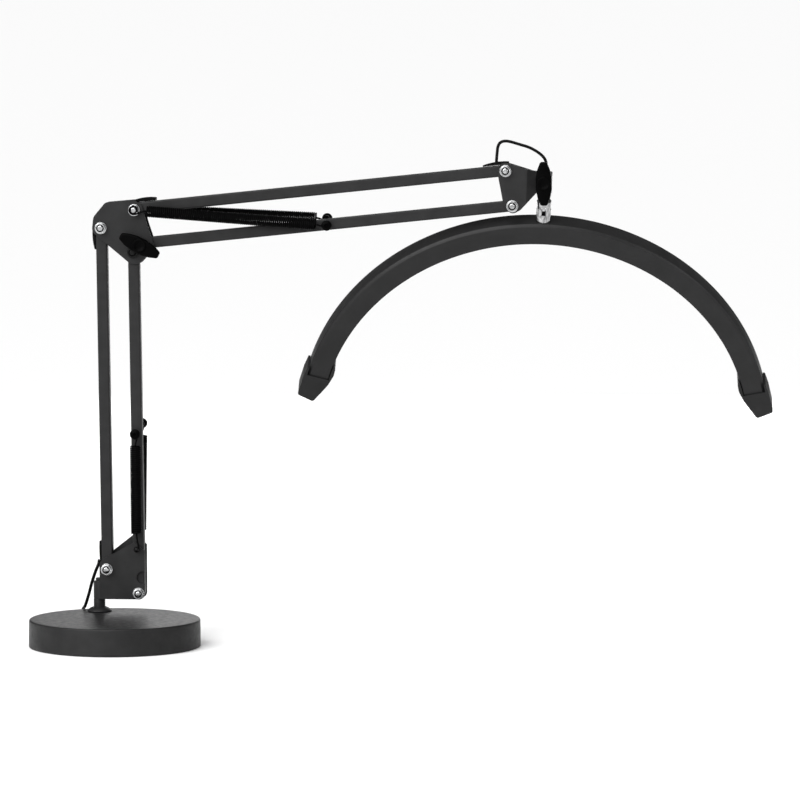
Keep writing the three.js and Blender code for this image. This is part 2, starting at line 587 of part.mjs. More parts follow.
const barGroup = new THREE.Group();
barGroup.position.z = -clevisRise - bar.outer;
tilt.add(barGroup);
addPiece(barGroup, 'bar_housing', barHousing(), charcoal);
const innerFace = -bar.depth / 2 + bar.wall + gap;
addPiece(barGroup, 'led_strip', barFill(5.8, innerFace + 4, innerFace + 5.4, 74, 80), ledBoard);
const rearFace = bar.depth / 2;
const cover = barFill(bar.wall + gap, rearFace - 3, rearFace - 0.4, bar.halfAngle - 0.2, 96);
addPiece(barGroup, 'diffuser', cover, diffuserWhite);
addPiece(barGroup, 'end_cap_left', endCap(-1), capPlastic);
addPiece(barGroup, 'end_cap_right', endCap(1), capPlastic);

// ---- cables ----
const wire = (route, steps) => roundTube(route, wireRadius, cord.sides, steps);
const inPlane = ([x, z]) => [x, armY, z];
const lowerWire = [34, 336].map((distance) => inPlane(alongLink(mainFoot, lowerLink, distance, 0)));
addPiece(group, 'lower_tube_wire', wire(lowerWire, 1), cordBlack);
const upperWire = [30, 368].map((distance) => inPlane(alongLink(upperMain, upperLink, distance, 1)));
addPiece(group, 'upper_tube_wire', wire(upperWire, 1), cordBlack);
const elbowRoute = [[-27.6, armY, 446.2], [-26.4, armY, 452], [-22, armY, 458.4], [-14.6, armY, 463.4],
  [-4.6, armY, 466.4], [6.6, armY, 467.8]];
addPiece(group, 'elbow_cable', wire(elbowRoute, 16), cordBlack);
const headRoute = [[400.2, armY, 514], [400.8, armY, 521], [401.8, armY - 0.5, 528], [404.8, armY - 1, 532.4],
  [411.7, armY - 1.5, 533.6], [424, armY - 1.5, 530.4], [436.6, armY - 1, 526.2], [447.3, armY - 0.5, 519.4],
  [452.2, armY, 512.6], [452.6, armY, 504.4]];
addPiece(group, 'head_cable', wire(headRoute, 34), cordBlack);

// The supply cord drops from the foot grommet, goes over the back of the base to the
// surface, and the rest of it lies in a round coil with its plug beside it.
const cordRoute = [[-27.2, 60, 77], [-29.4, 61, 72], [-32, 62.3, 65], [-34.8, 64.4, 56.5], [-37.6, 67.6, 47.2],
  [-40.8, 72.4, 38.4], [-43.8, 78.4, 32], [-46.6, 84.8, 28.6], [-48.4, 91, 23], [-49.2, 96.5, 15.6],
  [-48.6, 101.5, 8.4], [-46, 106.4, 3.4], [-41.6, 111.4, 1.8], [-36.6, 117, 1.8]];
addPiece(group, 'power_cord', roundTube(cordRoute, cord.radius, cord.sides, 40), cordBlack);
const halfWidth = cord.turnsWide * cord.radius;
const coilHeight = cord.turnsHigh * 2 * cord.radius;
const coil = turned([[cord.coilMiddle - halfWidth, 0], [cord.coilMiddle + halfWidth, 0],
  [cord.coilMiddle + halfWidth, coilHeight], [cord.coilMiddle - halfWidth, coilHeight],
  [cord.coilMiddle - halfWidth, 0]], 36, ...coilCentre);
addPiece(group, 'cord_coil', coil, cordBlack);
const plugProfile = [[0, 0], [2.2, 0], [3.4, 11], [5.2, 12], [5.2, 33], [4.2, 34], [2.75, 34],
  [2.75, 43.5], [0, 43.5]];
const plug = geometryOf(turned(plugProfile, 18)).rotateY(Math.PI / 2);
const plugY = coilCentre[1] + cord.coilMiddle + 2 * cord.radius;
addPiece(group, 'cord_plug', plug.translate(coilCentre[0] + 24, plugY, 5.2), blackPlastic);

export default group;
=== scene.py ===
from math import radians

import bmesh
import bpy
import numpy as np
from mathutils import Matrix, Vector


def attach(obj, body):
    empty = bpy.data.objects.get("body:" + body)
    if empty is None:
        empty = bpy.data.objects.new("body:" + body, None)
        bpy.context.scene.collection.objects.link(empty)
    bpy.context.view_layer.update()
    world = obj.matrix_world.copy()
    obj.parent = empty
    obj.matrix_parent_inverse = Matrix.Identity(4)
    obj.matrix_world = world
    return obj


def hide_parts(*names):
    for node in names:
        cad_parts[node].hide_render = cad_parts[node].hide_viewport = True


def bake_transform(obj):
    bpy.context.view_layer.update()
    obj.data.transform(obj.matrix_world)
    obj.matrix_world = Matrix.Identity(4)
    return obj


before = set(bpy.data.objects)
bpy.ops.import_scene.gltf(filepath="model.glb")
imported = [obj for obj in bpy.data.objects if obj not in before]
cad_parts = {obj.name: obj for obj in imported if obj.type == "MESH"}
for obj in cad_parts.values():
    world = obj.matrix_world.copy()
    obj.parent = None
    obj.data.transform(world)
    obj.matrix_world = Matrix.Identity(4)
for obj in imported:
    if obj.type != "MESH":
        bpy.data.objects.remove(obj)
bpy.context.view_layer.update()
scene = bpy.context.scene
print("frame loaded")

# Lengths are in millimetres until a mesh is made.
mm = 0.001
armY = 60.0  # the plane that the arms swing in
headHeight = 24.5  # of the head knob, above the tilt pivot
pivots = {
    "mainFoot": (-15.8, 75.3), "followerFoot": (18.6, 49.7),
    "mainElbow": (-20.5, 440.3), "followerElbow": (13.9, 414.7),
    "upperMain": (15.3, 459.6), "upperFollower": (22.6, 422.5),
    "headMain": (410.3, 502.4), "headFollower": (417.6, 465.3),
}
lowerLink, upperLink = (-4.7, 365.0), (395.0, 42.8)


def unit(v):
    v = np.asarray(v, float)
    return v / np.linalg.norm(v, axis=-1, keepdims=True)


def turnAbout(axis, degrees):
    return np.array(Matrix.Rotation(radians(degrees), 3, axis), float)


def alongLink(start, link, distance, side=0.0):
    # A point measured from a pivot along a link, and square to it.
    u = unit(link)
    return np.array(start) + u * distance + np.array([-u[1], u[0]]) * side


# The head leans, the stud is turned in it, and the bar is tilted on the stud.
tiltPivot = np.array([450.4, armY, 465.0])
headTurn = turnAbout("Y", 2.1)
studTurn = headTurn @ turnAbout("Z", 4.0)
barTurn = studTurn @ turnAbout("X", 25.3)
barCentre = tiltPivot + barTurn @ np.array([0, 0, -269.8])


# Camera.
cameraView = {"place": (0.7589, -5.2093, 0.7102), "turn": (85.12, 0.0, 5.0), "lens": 225.0}
cameraData = bpy.data.cameras.new("camera")
camera = bpy.data.objects.new("camera", cameraData)
scene.collection.objects.link(camera)
cameraData.sensor_width = 36.0
cameraData.lens = cameraView["lens"]
cameraData.clip_end = 1000.0
camera.location = cameraView["place"]
camera.rotation_euler = [radians(a) for a in cameraView["turn"]]
scene.camera = camera


# Materials.
def newMaterial(name):
    material = bpy.data.materials.new(name)
    material.use_nodes = True
    tree = material.node_tree
    shader = tree.nodes["Principled BSDF"]
    place = tree.nodes.new("ShaderNodeTexCoord").outputs["Object"]
    return material, tree, shader, place


def grain(tree, place, scale, detail=3.0, stretch=None):
    # Noise of one size, in repeats to the metre, drawn out along an axis if asked.
    noise = tree.nodes.new("ShaderNodeTexNoise")
    noise.inputs["Scale"].default_value = scale
    noise.inputs["Detail"].default_value = detail
    noise.inputs["Roughness"].default_value = 0.55
    if stretch:
        mapping = tree.nodes.new("ShaderNodeMapping")
        mapping.inputs["Scale"].default_value = stretch
        tree.links.new(place, mapping.inputs["Vector"])
        place = mapping.outputs["Vector"]
    tree.links.new(place, noise.inputs["Vector"])
    return noise.outputs["Fac"]


noiseRange = (0.3, 0.7)


def between(tree, value, low, high):
    # Noise, which lies mostly in noiseRange, carried to another range and held inside it.
    span = tree.nodes.new("ShaderNodeMapRange")
    span.inputs["From Min"].default_value = noiseRange[0]
    span.inputs["From Max"].default_value = noiseRange[1]
    span.inputs["To Min"].default_value = low
    span.inputs["To Max"].default_value = high
    tree.links.new(value, span.inputs["Value"])
    return span.outputs["Result"]


def blendColour(tree, value, dark, light):
    mix = tree.nodes.new("ShaderNodeMix")
    mix.data_type = "RGBA"
    mix.inputs["A"].default_value = (*dark, 1)
    mix.inputs["B"].default_value = (*light, 1)
    tree.links.new(value, mix.inputs["Factor"])
    return mix.outputs["Result"]


def addBump(tree, shader, height, depth, strength):
    bump = tree.nodes.new("ShaderNodeBump")
    bump.inputs["Distance"].default_value = depth
    bump.inputs["Strength"].default_value = strength
    tree.links.new(height, bump.inputs["Height"])
    tree.links.new(bump.outputs["Normal"], shader.inputs["Normal"])


finishes = {
    # grey: the two tones; tint: their colour; rough: roughness; shine: specular level;
    # patch and fine: repeats to the metre of the patches and the grain; depth: of the grain,
    # in metres; drawn: stretches the patches along an axis, into painted reflection streaks
    "paintedSteel": {"grey": (0.0090, 0.0145), "tint": (1.0, 1.0, 1.02), "rough": (0.40, 0.52),
                     "shine": 0.18, "metal": 0.0, "patch": 55, "fine": 1700, "depth": 0.00006},
    "barPaint": {"grey": (0.0090, 0.0130), "tint": (1.0, 1.0, 1.02), "rough": (0.36, 0.46),
                 "shine": 0.19, "metal": 0.0, "patch": 40, "fine": 2200, "depth": 0.00004},
    "capPlastic": {"grey": (0.0085, 0.0120), "tint": (1.0, 1.0, 1.02), "rough": (0.45, 0.58),
                   "shine": 0.18, "metal": 0.0, "patch": 70, "fine": 2600, "depth": 0.00005},
    "knobPlastic": {"grey": (0.0006, 0.0011), "tint": (1.0, 1.0, 1.04), "rough": (0.34, 0.46),
                    "shine": 0.02, "metal": 0.0, "patch": 90, "fine": 2400, "depth": 0.00005},
    "softGrommet": {"grey": (0.0016, 0.0030), "tint": (1.0, 1.0, 1.0), "rough": (0.55, 0.70),
                    "shine": 0.05, "metal": 0.0, "patch": 80, "fine": 1500, "depth": 0.00006},
    "cordJacket": {"grey": (0.0014, 0.0028), "tint": (1.0, 1.0, 1.0), "rough": (0.42, 0.58),
                   "shine": 0.06, "metal": 0.0, "patch": 120, "fine": 1200, "depth": 0.00005},
    "foamPad": {"grey": (0.008, 0.022), "tint": (1.0, 1.0, 1.0), "rough": (0.85, 0.97),
                "shine": 0.20, "metal": 0.0, "patch": 300, "fine": 900, "depth": 0.0003},
    "ironWeight": {"grey": (0.04, 0.085), "tint": (1.0, 0.98, 0.95), "rough": (0.60, 0.85),
                   "shine": 0.50, "metal": 0.6, "patch": 90, "fine": 700, "depth": 0.0003},
    "blackZinc": {"grey": (0.0020, 0.0040), "tint": (1.0, 1.0, 1.03), "rough": (0.24, 0.36),
                  "shine": 0.14, "metal": 0.0, "patch": 210, "fine": 3000, "depth": 0.00002},
    "springWire": {"grey": (0.0010, 0.0022), "tint": (1.0, 1.0, 1.03), "rough": (0.42, 0.56),
                   "shine": 0.02, "metal": 0.0, "patch": 260, "fine": 3000, "depth": 0.00002},
    "zincPlate": {"grey": (0.26, 0.56), "tint": (0.98, 0.99, 1.0), "rough": (0.18, 0.32),
                  "shine": 0.50, "metal": 1.0, "patch": 210, "fine": 3500, "depth": 0.00002},
    # chrome: its dark and bright tones, stretched into vertical streaks, are painted reflections
    "chromePaintedReflections": {"grey": (0.10, 0.66), "tint": (0.99, 0.99, 1.0), "rough": (0.08, 0.18),
               "shine": 0.50, "metal": 1.0, "patch": 420, "fine": 900, "depth": 0.00001,
               "drawn": (1, 1, 0.06)},
    "ledBoard": {"grey": (0.74, 0.84), "tint": (1.0, 0.98, 0.90), "rough": (0.35, 0.50),
                 "shine": 0.50, "metal": 0.0, "patch": 300, "fine": 2000, "depth": 0.00003},
}


def finishMaterial(name):
    # Two close colours in soft patches, roughness that varies over smaller ones, and a
    # fine grain in the bump.
    look = finishes[name]
    material, tree, shader, place = newMaterial(name)
    # On chrome the patches are stretched into vertical streaks of painted reflection.
    patches = grain(tree, place, look["patch"], 5.0, stretch=look.get("drawn"))
    fine = grain(tree, place, look["fine"], 2.0)
    dark, light = ([tone * c for c in look["tint"]] for tone in look["grey"])
    colour = blendColour(tree, between(tree, patches, 0, 1), dark, light)
    tree.links.new(colour, shader.inputs["Base Color"])
    streaks = grain(tree, place, look["patch"] * 3.1, 4.0)
    tree.links.new(between(tree, streaks, *look["rough"]), shader.inputs["Roughness"])
    shader.inputs["Metallic"].default_value = look["metal"]
    shader.inputs["Specular IOR Level"].default_value = look["shine"]
    addBump(tree, shader, fine, look["depth"], 0.6)
    return material


milk = {
    "dark": (0.80, 0.79, 0.74), "light": (0.86, 0.85, 0.80), "patch": 60, "rough": (0.38, 0.5),
    "roughPatch": 240, "ribs": 130.0, "ribDepth": 0.00025, "scatter": 0.35, "scatterDepth": 0.004,
}


def diffuserMaterial():
    # Milky plastic with fine ribs across the bar, read from the piece's own UV map.
    material, tree, shader, place = newMaterial("diffuserMilk")
    tone = between(tree, grain(tree, place, milk["patch"]), 0, 1)
    colour = blendColour(tree, tone, milk["dark"], milk["light"])
    tree.links.new(colour, shader.inputs["Base Color"])
    uv = tree.nodes.new("ShaderNodeUVMap")
    uv.uv_map = "along"
    wave = tree.nodes.new("ShaderNodeTexWave")
    wave.inputs["Scale"].default_value = milk["ribs"]
    tree.links.new(uv.outputs["UV"], wave.inputs["Vector"])
    addBump(tree, shader, wave.outputs["Fac"], milk["ribDepth"], 0.5)
    rough = between(tree, grain(tree, place, milk["roughPatch"]), *milk["rough"])
    tree.links.new(rough, shader.inputs["Roughness"])
    shader.inputs["Subsurface Weight"].default_value = milk["scatter"]
    shader.inputs["Subsurface Scale"].default_value = milk["scatterDepth"]
    return material


materials = {name: finishMaterial(name) for name in finishes}
materials["diffuserMilk"] = diffuserMaterial()
print("materials made")


# Shapes, as whole arrays of points with their faces.
def gridFaces(rows, columns, wrapRows=False):
    # Four-cornered faces of a grid of points that is stored row by row. Each row is closed.
    r = np.arange(rows if wrapRows else rows - 1)[:, None]
    c = np.arange(columns)[None, :]
    r2, c2 = (r + 1) % rows, (c + 1) % columns
    return np.stack([r * columns + c, r * columns + c2, r2 * columns + c2, r2 * columns + c],
                    -1).reshape(-1, 4)


def frameOf(direction):
    # Three axes, the third along the direction given.
    third = unit(direction)
    helper = np.array([0, 1.0, 0]) if abs(third[1]) < 0.9 else np.array([1.0, 0, 0])
    first = unit(np.cross(helper, third))
    return np.stack([first, np.cross(third, first), third])


def turned(profile, at=(0, 0, 0), direction=(0, 0, 1), sides=64, ripple=None):
    # Surface of revolution: each [radius, height] of the profile is carried round the
    # direction, from the point at. ripple may change the radius by angle and height.
    profile = np.asarray(profile, float)
    angle = np.linspace(0, 2 * np.pi, sides, endpoint=False)
    radius = np.broadcast_to(profile[:, :1], (len(profile), sides))
    height = np.broadcast_to(profile[:, 1:], (len(profile), sides))
    if ripple:
        radius, height = ripple(radius, height, np.broadcast_to(angle, radius.shape))
    local = np.stack([radius * np.cos(angle), radius * np.sin(angle), height], -1)
    points = (local @ frameOf(direction) + np.asarray(at, float)).reshape(-1, 3)
    return points, [gridFaces(len(profile), sides)]


def ringProfile(inner, outer, low, high, edge=0.3, steps=3):
    # Closed section of a ring, with its four corners rounded.
    turn = np.linspace(0, np.pi / 2, steps + 1)

    def corner(cx, cz, start):
        return np.stack([cx + edge * np.cos(turn + start), cz + edge * np.sin(turn + start)], -1)
    return np.concatenate([
        corner(outer - edge, high - edge, 0), corner(inner + edge, high - edge, np.pi / 2),
        corner(inner + edge, low + edge, np.pi), corner(outer - edge, low + edge, 1.5 * np.pi)])


def solidRing(section, **place):
    # A closed section carried round, with its last row joined to its first.
    points, _ = turned(section, **place)
    return points, [gridFaces(len(section), len(points) // len(section), wrapRows=True)]


def hexagon(radius, height, angle, flat, chamfer):
    # A round profile pressed to six flats: the radius is held to flat / cos(angle within
    # the sixth), and the height falls with the corners where the chamfer cuts them.
    within = (angle + np.pi / 6) % (np.pi / 3) - np.pi / 6
    side = flat / np.cos(within)
    full = radius >= flat + 0.01
    middle = (height.max() + height.min()) / 2
    drop = np.where(full, (side - flat) * 0.58 + chamfer, 0) * np.sign(height - middle)
    return np.where(full, side, radius), height - drop


def hexNut(at, direction, thick, flat, bore):
    # Hex nut or, with no bore, a hex head. It stands on the point at.
    face = flat * 0.97
    profile = [[bore, 0], [face, 0], [flat + 1, 0], [flat + 1, thick], [face, thick], [bore, thick]]
    if bore:
        profile.append([bore, 0])
    return turned(profile, at, direction, 60, lambda r, h, a: hexagon(r, h, a, flat, 0.08))


def threadEnd(at, direction, length, radius, pitch=0.8):
    # Threaded rod end: radius falls by a saw tooth of height over pitch minus the turn.
    rows = int(length / pitch * 8)
    height = np.linspace(0, length, rows)
    profile = np.concatenate([[[0, 0]], np.stack([np.full(rows, radius), height], -1),
                              [[0, length]]])

    def ripple(r, h, a):
        tooth = np.abs(((h / pitch - a / (2 * np.pi)) % 1) - 0.5) * 2
        fade = np.clip((length - h) / 0.7, 0, 1)
        return np.where(r > 0, r - 0.42 * tooth - 0.6 * (1 - fade), 0), h
    return turned(profile, at, direction, 24, ripple)


def outline(corners, steps=7):
    # Closed outline from [x, z, radius] corners, each one rounded by an arc.
    corners = [(*c, 0)[:3] for c in corners]
    made = []
    for i, (x, z, radius) in enumerate(corners):
        here = np.array([x, z])
        back = unit(np.array(corners[i - 1][:2]) - here)
        ahead = unit(np.array(corners[(i + 1) % len(corners)][:2]) - here)
        if radius <= 0:
            made.append(here[None])
            continue
        half = np.arccos(np.clip(back @ ahead, -1, 1)) / 2
        centre = here + unit(back + ahead) * radius / np.sin(half)
        reach = radius / np.tan(half)
        first, last = here + back * reach - centre, here + ahead * reach - centre
        a0 = np.arctan2(first[1], first[0])
        sweep = (np.arctan2(last[1], last[0]) - a0 + np.pi) % (2 * np.pi) - np.pi
        a = a0 + sweep * np.linspace(0, 1, steps)
        made.append(centre + radius * np.stack([np.cos(a), np.sin(a)], -1))
    return np.concatenate(made)


def inset(shape, amount):
    # Each point of a closed outline moved inwards, square to its two edges.
    ahead = np.roll(shape, -1, 0)
    edge = unit(ahead - shape)
    normal = np.stack([-edge[:, 1], edge[:, 0]], -1)
    before = np.roll(normal, 1, 0)
    area = np.sum(shape[:, 0] * ahead[:, 1] - shape[:, 1] * ahead[:, 0])
    both = (normal + before) / (1 + np.sum(normal * before, -1, keepdims=True))
    return shape + both * amount * np.sign(area)


def plate(shape, low, high, edge=0.4, steps=3):
    # An outline in x and z carried along Y, with a rounded edge on both faces: each row
    # of the grid is the outline moved inwards as the edge's quarter circle asks.
    turn = np.linspace(0, np.pi / 2, steps + 1)
    inward = edge * (1 - np.sin(turn))
    depth = edge * (1 - np.cos(turn))
    rows = [(i, low + d) for i, d in zip(inward, depth)]
    rows += [(i, high - d) for i, d in zip(inward[::-1], depth[::-1])]
    points = np.concatenate([np.insert(inset(shape, i), 1, y, axis=1) for i, y in rows])
    n = len(shape)
    caps = [np.arange(n)[None, ::-1], (np.arange(n) + n * (len(rows) - 1))[None]]
    return points, [gridFaces(len(rows), n), *caps]


def tubeAlong(path, radius, sides):
    # Round section carried along a path: each frame is the last one, kept square to the
    # path, and the ends are closed by a point.
    path = np.asarray(path, float)
    tangent = unit(np.gradient(path, axis=0))
    normal = np.empty_like(path)
    normal[0] = frameOf(tangent[0])[0]
    for i in range(1, len(path)):
        normal[i] = unit(normal[i - 1] - tangent[i] * (normal[i - 1] @ tangent[i]))
    side = np.cross(tangent, normal)
    angle = np.linspace(0, 2 * np.pi, sides, endpoint=False)
    cosine, sine = np.cos(angle)[:, None], np.sin(angle)[:, None]
    ring = radius * (cosine * normal[:, None] + sine * side[:, None])
    points = (path[:, None] + ring).reshape(-1, 3)
    n = len(path) * sides
    points = np.concatenate([points, path[:1], path[-1:]])
    a = np.arange(sides)
    b = (a + 1) % sides
    start = np.stack([np.full(sides, n), b, a], -1)
    end = np.stack([np.full(sides, n + 1), a + n - sides, b + n - sides], -1)
    return points, [gridFaces(len(path), sides), start, end]


def smoothPath(points, perSpan=8):
    # Catmull-Rom curve through the points, as one array.
    p = np.asarray(points, float)
    p = np.concatenate([2 * p[:1] - p[1:2], p, 2 * p[-1:] - p[-2:-1]])
    t = np.linspace(0, 1, perSpan, endpoint=False)[None, :, None]
    a, b, c, d = (p[i:len(p) - 3 + i, None] for i in range(4))
    spans = 0.5 * (2 * b + (c - a) * t + (2 * a - 5 * b + 4 * c - d) * t**2
                   + (3 * b - a - 3 * c + d) * t**3)
    return np.concatenate([spans.reshape(-1, 3), p[-2:-1]])


def evenPath(path, step):
    # The same path with its points a fixed step apart.
    gone = np.concatenate([[0], np.cumsum(np.linalg.norm(np.diff(path, axis=0), axis=1))])
    at = np.linspace(0, gone[-1], int(gone[-1] / step) + 2)
    return np.stack([np.interp(at, gone, path[:, k]) for k in range(3)], -1)


def lengthOf(path):
    return float(np.linalg.norm(np.diff(path, axis=0), axis=1).sum())


def placed(part, turn, at):
    points, faces = part
    return points @ np.asarray(turn).T + np.asarray(at), faces


def joined(*parts):
    points, faces, count = [], [], 0
    for p, f in parts:
        points.append(p)
        faces += [array + count for array in f]
        count += len(p)
    return np.concatenate(points), faces


mergeDistance = 2e-6  # metres
dressing = {
    "flat": 0.6,  # degrees: faces closer than this are made one
    "soft": (0.012, 0.6),  # radians: a face with such an edge is shaded smooth
    "sharp": 34, "bevelFrom": 38,  # degrees
}


def finishMesh(mesh, name, body, material, nodes, sharp):
    mesh.materials.clear()
    mesh.materials.append(materials[material])
    mesh.shade_smooth()
    mesh.set_sharp_from_angle(angle=radians(sharp))
    piece = bpy.data.objects.new(name, mesh)
    scene.collection.objects.link(piece)
    if body:
        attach(piece, body)
    if nodes:
        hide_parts(*nodes)
    return piece


def addPiece(name, part, body, material, nodes=(), sharp=35):
    # Mesh from points in millimetres, with doubles merged and faces turned outwards.
    points, faces = part
    mesh = bpy.data.meshes.new(name)
    mesh.from_pydata((points * mm).tolist(), [], [f for array in faces for f in array.tolist()])
    work = bmesh.new()
    work.from_mesh(mesh)
    bmesh.ops.remove_doubles(work, verts=work.verts, dist=mergeDistance)
    bmesh.ops.recalc_face_normals(work, faces=work.faces)
    work.to_mesh(mesh)
    work.free()
    return finishMesh(mesh, name, body, material, nodes, sharp)


def dressNode(node, body, material, edge):
    # A copy of a CAD node's mesh, merged, with its flat faces made whole and its edges
    # eased by a small bevel. A face is shaded smooth only where it meets another softly.
    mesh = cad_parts[node].data.copy()
    work = bmesh.new()
    work.from_mesh(mesh)
    bmesh.ops.remove_doubles(work, verts=work.verts, dist=mergeDistance)
    bmesh.ops.dissolve_limit(work, angle_limit=radians(dressing["flat"]), verts=work.verts,
                             edges=work.edges)
    low, high = dressing["soft"]
    soft = [any(low < e.calc_face_angle(0.0) < high for e in face.edges) for face in work.faces]
    work.to_mesh(mesh)
    work.free()
    piece = finishMesh(mesh, node + "_finished", body, material, [node], dressing["sharp"])
    mesh.polygons.foreach_set("use_smooth", soft)
    bevel = piece.modifiers.new("eased edges", "BEVEL")
    bevel.width = edge * mm
    bevel.segments = 2
    bevel.limit_method = "ANGLE"
    bevel.angle_limit = radians(dressing["bevelFrom"])
    return piece


def paintNode(node, material):
    # A CAD node that stays as it is gets a finish.
    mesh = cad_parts[node].data
    mesh.materials.clear()
    mesh.materials.append(materials[material])


# Cords: the supply cord with its coil and plug, then the two loops on the arm.
supplyCord = {
    "radius": 1.7, "coilCentre": (-12.0, 126.0), "middle": 18.5,
    "route": [(-25.1, 60, 85), (-25.7, 60, 81), (-27.2, 60, 77), (-29.4, 61, 72), (-32, 62.3, 65),
              (-34.8, 64.4, 56.5), (-37.6, 67.6, 47.2), (-40.8, 72.4, 38.4), (-43.8, 78.4, 32),
              (-46.6, 84.8, 28.6), (-48.4, 91, 23), (-49.2, 96.5, 15.6), (-48.6, 101.5, 8.4),
              (-46, 106.4, 3.4), (-41.6, 111.4, 1.8), (-36.6, 117, 1.8)],
    "plug": (12.0, 147.9, 5.2),
}


def coilPath():
    # Four flat layers of turns, inwards and outwards by turns. Radius and height are the
    # first ones plus a smooth step at each place where the cord crosses over or climbs.
    wide = 2 * supplyCord["radius"]
    middle = supplyCord["middle"]
    moves = [  # degrees where a move starts, change of radius, change of height, in cord widths
        (270, -1, 0), (630, -1, 0), (930, 0, 1), (1230, 1, 0), (1590, 1, 0), (1890, 0, 1),
        (2190, -1, 0), (2550, -1, 0), (2850, 0, 1), (3150, 1, 0), (3510, 1, 0)]
    angle = np.arange(30.0, 3690.0, 7.5)
    radius = np.full(len(angle), middle + wide)
    height = np.full(len(angle), supplyCord["radius"] + 0.05)
    for start, out, up in moves:
        step = np.clip((angle - start) / 60, 0, 1)
        step = step * step * (3 - 2 * step)
        radius = radius + out * wide * step
        height = height + up * wide * step
    a = np.radians(angle)
    cx, cy = supplyCord["coilCentre"]
    return np.stack([cx - radius * np.cos(a), cy + radius * np.sin(a), height], -1)


def addCurve(name, path, radius, body, material, nodes):
    curve = bpy.data.curves.new(name, "CURVE")
    curve.dimensions = "3D"
    curve.bevel_depth = radius * mm
    curve.bevel_resolution = 4
    curve.use_fill_caps = True
    spline = curve.splines.new("POLY")
    spline.points.add(len(path) - 1)
    spline.points.foreach_set("co", np.insert(path * mm, 3, 1.0, axis=1).ravel())
    spline.use_smooth = True
    curve.materials.append(materials[material])
    piece = bpy.data.objects.new(name, curve)
    scene.collection.objects.link(piece)
    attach(piece, body)
    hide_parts(*nodes)
    return piece


plugAt = np.array(supplyCord["plug"])
coil = coilPath()
lead = smoothPath(supplyCord["route"], 4)
run = np.linspace(0, 1, 14)[1:, None]
ease = run * run * (3 - 2 * run)
toPlug = plugAt + np.array([3, 0, 0]) - coil[-1]
leave = coil[-1] + toPlug * np.concatenate([run, ease, ease], axis=1)
joinPath = smoothPath([lead[-2], lead[-1], (-34.6, 121.6, 1.75), coil[0], coil[1]], 6)[7:-6]
supplyPath = np.concatenate([lead, joinPath, coil, leave])
cordPiece = addCurve("supply_cord", supplyPath, supplyCord["radius"], "base", "cordJacket",
                     ["power_cord", "cord_coil"])


def plugBody():
    # Straight barrel plug: ribbed strain relief, grip with flutes, and a shoulder.
    relief = np.linspace(0, 11, 45)
    ribs = 2.5 + relief * 0.11 + 0.22 * np.cos(relief * 2 * np.pi / 2.2)
    head = [[0, 0], [1.9, 0]]
    grip = [[4.6, 11.4], [5.1, 12.2], [5.2, 14], [5.2, 31], [4.9, 32.6], [4.2, 33.6], [2.75, 34],
            [0, 34]]
    profile = np.concatenate([head, np.stack([ribs, relief + 0.01], -1), grip])

    def flutes(r, h, a):
        inGrip = np.clip((h - 14.5) / 2, 0, 1) * np.clip((30 - h) / 2, 0, 1)
        return r - 0.35 * inGrip * (np.cos(a * 16) > 0.4) * (r > 4), h
    barrel = np.stack([np.full(30, 5.2), np.linspace(14.1, 30.9, 30)], -1)
    fine = np.concatenate([profile[:-6], barrel, profile[-5:]])
    return turned(fine, plugAt, (1, 0, 0), 96, flutes)


def plugBarrel():
    tip = [[0, 33.5], [2.75, 33.5], [2.75, 41.6], [2.5, 42], [2.5, 43.2], [2.2, 43.5], [1.3, 43.5],
           [1.2, 43.2], [1.2, 38], [0, 38]]
    return turned(tip, plugAt, (1, 0, 0), 40)


plugPiece = addPiece("plug_grip", plugBody(), "base", "knobPlastic", ["cord_plug"])
barrelPiece = addPiece("plug_barrel", plugBarrel(), "base", "zincPlate")


tie = {"inner": 11.9, "outer": 25.1, "top": 14.9, "bend": 1.6, "thick": 0.9, "width": 5.2,
       "turn": 205}


def coilTie():
    # Flat strap round the coil's section: a rounded loop with a flat cross-section.
    cx, cy = supplyCord["coilCentre"]
    low, high, top, bend = tie["inner"], tie["outer"], tie["top"], tie["bend"]
    loop = outline([[low, 0.05, bend], [high, 0.05, bend], [high, top, bend], [low, top, bend]], 6)
    inner, half = inset(loop, tie["thick"]), tie["width"] / 2
    rows = ((loop, -half), (loop, half), (inner, half), (inner, -half))
    points = np.concatenate([np.insert(line, 1, y, axis=1) for line, y in rows])
    spun = turnAbout("Z", tie["turn"])
    return points @ spun.T + np.array([cx, cy, 0]), [gridFaces(4, len(loop), wrapRows=True)]


tiePiece = addPiece("coil_tie", coilTie(), "base", "softGrommet")
print("supply cord", round(lengthOf(supplyPath)), "mm")

headLoop = {
    "radius": 1.6, "bend": 42,  # about the millimetres along it to where it moves with the head
    "route": [(400.0, 60, 508.5), (400.2, 60, 514), (400.8, 60, 521), (401.8, 59.5, 528),
              (404.8, 59, 532.4), (411.7, 58.5, 533.6), (424, 58.5, 530.4), (436.6, 59, 526.2),
              (447.3, 59.5, 519.4), (452.2, 60, 512.6), (452.6, 60, 504.4)],
}
elbowLoop = {
    "radius": 1.3,
    "route": [(-27.6, 60, 446.2), (-26.4, 60, 452), (-22, 60, 458.4), (-14.6, 60, 463.4),
              (-4.6, 60, 466.4), (6.6, 60, 467.8)],
}


def addLoop(name, path, radius, nodes):
    # A short cable as a mesh tube between two bodies.
    piece = addPiece(name, tubeAlong(path, radius, 16), None, "cordJacket", nodes)
    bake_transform(piece)
    return piece


headPath = evenPath(smoothPath(headLoop["route"], 10), 1.0)
headPiece = addLoop("head_loop", headPath, headLoop["radius"],
                    ["head_cable"])
elbowPath = evenPath(smoothPath(elbowLoop["route"], 10), 1.0)
half = len(elbowPath) // 2
addLoop("elbow_loop_low", elbowPath[:half + 1], elbowLoop["radius"],
        ["elbow_cable"])
addLoop("elbow_loop_high", elbowPath[half:], elbowLoop["radius"],
        ["elbow_cable"])
print("cords made")


